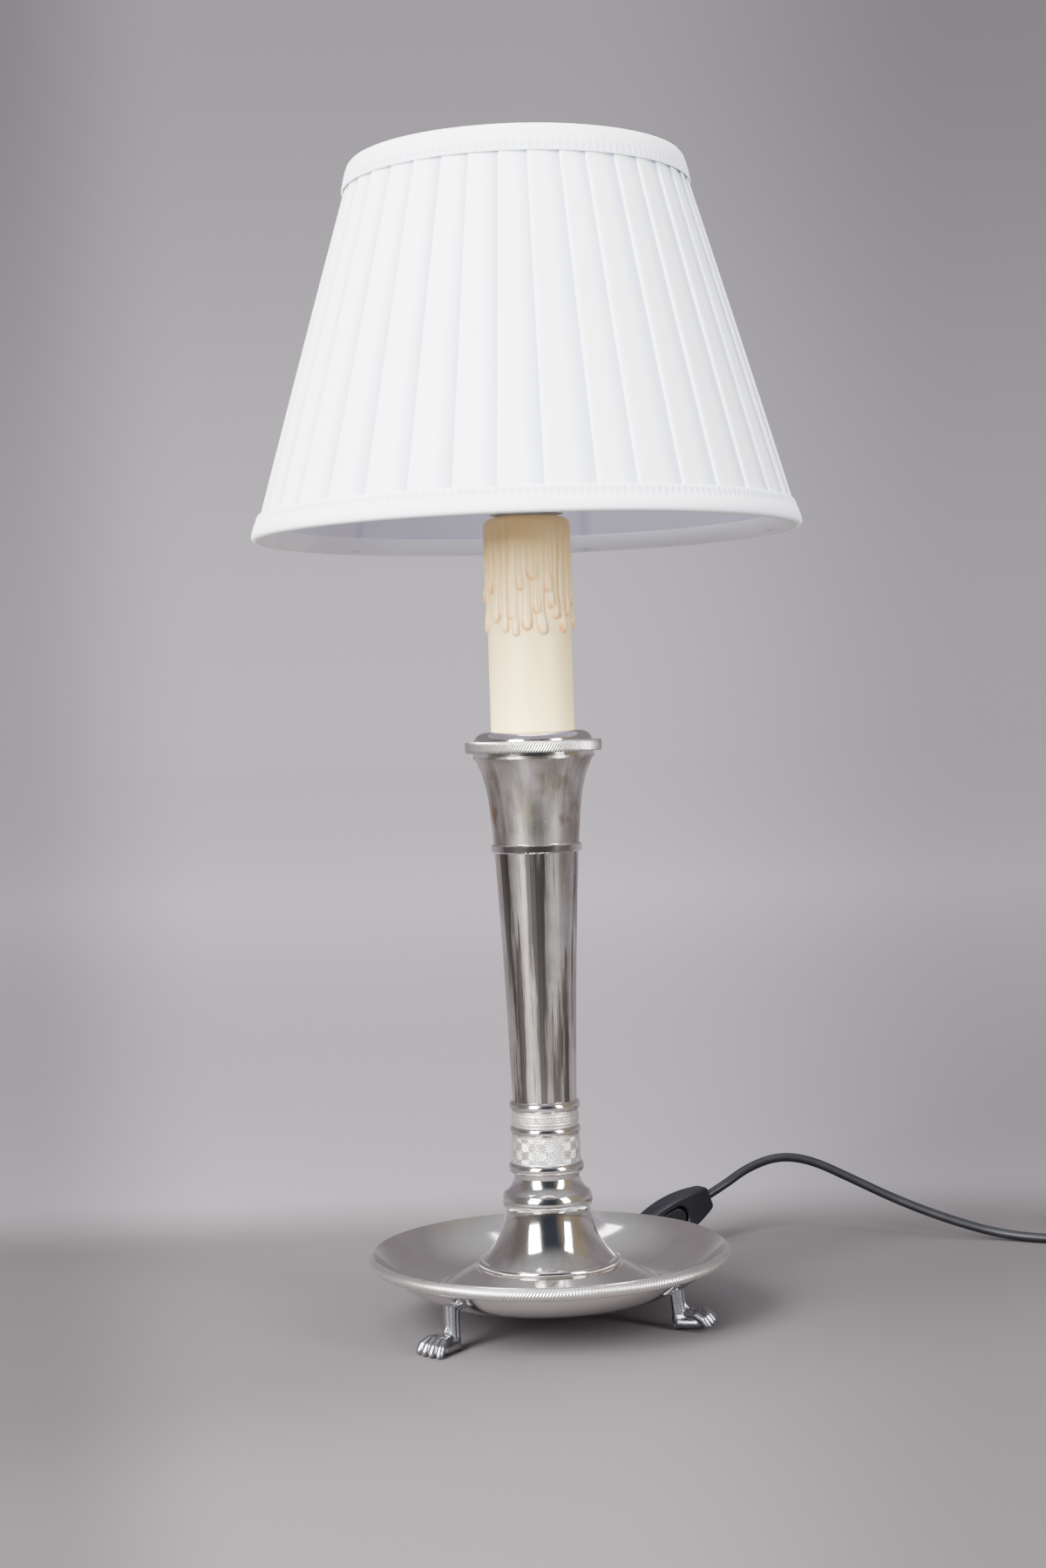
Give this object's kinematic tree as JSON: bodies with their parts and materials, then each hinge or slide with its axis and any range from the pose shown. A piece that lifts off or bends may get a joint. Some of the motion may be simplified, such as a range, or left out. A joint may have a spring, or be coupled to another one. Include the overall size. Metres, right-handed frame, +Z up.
{
  "type": "candlestick lamp",
  "caption": "Table lamp made as a candlestick: dish on paw feet, turned stem, candle sleeve, pleated empire shade that lifts off its carrier, and a cord with an inline rocker switch.",
  "frame": {"origin": "on the lamp's axis, at the height of the surface its three feet stand on", "axes": "+Z up along the axis, -Y to the front, +X to the side the cord runs off to"},
  "size_m": [0.5094, 0.4008, 0.539],
  "materials": {
    "silver_plate": "polished, with light warm tarnish",
    "silver_cast": "satin, oxidised in the hollows",
    "steel_zinc": "satin",
    "brass_bare": "satin",
    "candle_plastic": "waxy",
    "holder_plastic": "moulded",
    "insert_ceramic": "glazed",
    "opal_glass": "opal",
    "frame_white": "satin",
    "cover_fabric": "matt",
    "lining_fabric": "matt",
    "tape_fabric": "matt",
    "cord_black": "satin",
    "switch_black": "satin"
  },
  "bodies": {
    "lamp": {"dish": "silver_plate", "rope_rim": "silver_plate", "bell_foot": "silver_plate", "foot_bead": "silver_plate", "scotia_neck": "silver_plate", "lower_collar_ring": "silver_plate", "lattice_band": "silver_plate", "middle_collar_ring": "silver_plate", "key_band": "silver_plate", "upper_collar_ring": "silver_plate", "stem_tube": "silver_plate", "stem_band": "silver_plate", "trumpet": "silver_plate", "drip_cap": "silver_plate", "knurled_ring": "silver_plate", "paw_foot_back": "silver_cast", "paw_foot_left": "silver_cast", "paw_foot_right": "silver_cast", "rod_washers": "steel_zinc", "rod_nuts": "steel_zinc", "switch_screws": "steel_zinc", "rocker_pin": "steel_zinc", "threaded_rod": "brass_bare", "centre_contact": "brass_bare", "screw_shell": "brass_bare", "switch_contacts": "brass_bare", "plug_pins": "brass_bare", "holder_base": "holder_plastic", "holder_skirt": "holder_plastic", "seat_ring": "holder_plastic", "holder_insert": "insert_ceramic", "inner_lead": "cord_black", "cord_boot": "cord_black", "outlet_cup": "cord_black", "outlet_cover": "cord_black", "cord_base_stretch": "cord_black", "cord_main_stretch": "cord_black", "cord_coil": "cord_black", "cord_tail": "cord_black", "plug_body": "cord_black", "switch_cover": "switch_black", "switch_base": "switch_black"},
    "candle_sleeve": {"candle_sleeve": "candle_plastic"},
    "bulb": {"bulb_glass": "opal_glass", "bulb_cap": "brass_bare", "bulb_contact": "brass_bare"},
    "shade_ring": {"shade_ring": "holder_plastic"},
    "carrier": {"carrier_base": "frame_white", "carrier_legs": "frame_white", "carrier_ring": "frame_white"},
    "shade": {"pleated_cover": "cover_fabric", "lining": "lining_fabric", "top_tape": "tape_fabric", "bottom_tape": "tape_fabric", "frame_rings": "frame_white", "frame_struts": "frame_white", "spider_ring": "frame_white", "spider_arms": "frame_white"},
    "rocker": {"switch_rocker": "switch_black"}
  },
  "joints": [
    {"name": "candle_sleeve_turn", "type": "hinge", "parent": "lamp", "child": "candle_sleeve", "pos_m": [0, 0, 0.3], "axis": [0, 0, 1], "continuous": true},
    {"name": "bulb_turn", "type": "hinge", "parent": "lamp", "child": "bulb", "pos_m": [0, 0, 0.39], "axis": [0, 0, 1], "continuous": true},
    {"name": "shade_ring_turn", "type": "hinge", "parent": "lamp", "child": "shade_ring", "pos_m": [0, 0, 0.386], "axis": [0, 0, 1], "continuous": true},
    {"name": "carrier_turn", "type": "hinge", "parent": "lamp", "child": "carrier", "pos_m": [0, 0, 0.3825], "axis": [0, 0, 1], "continuous": true},
    {"name": "shade_lift", "type": "slide", "parent": "carrier", "child": "shade", "axis": [0, 0, 1], "range_m": [0, 0.12]},
    {"name": "rocker_swing", "type": "hinge", "parent": "lamp", "child": "rocker", "pos_m": [0.06584, 0.15209, 0.0158], "axis": [-0.3061, -0.1767, 0.9354], "range_deg": [0, 14]}
  ]
}
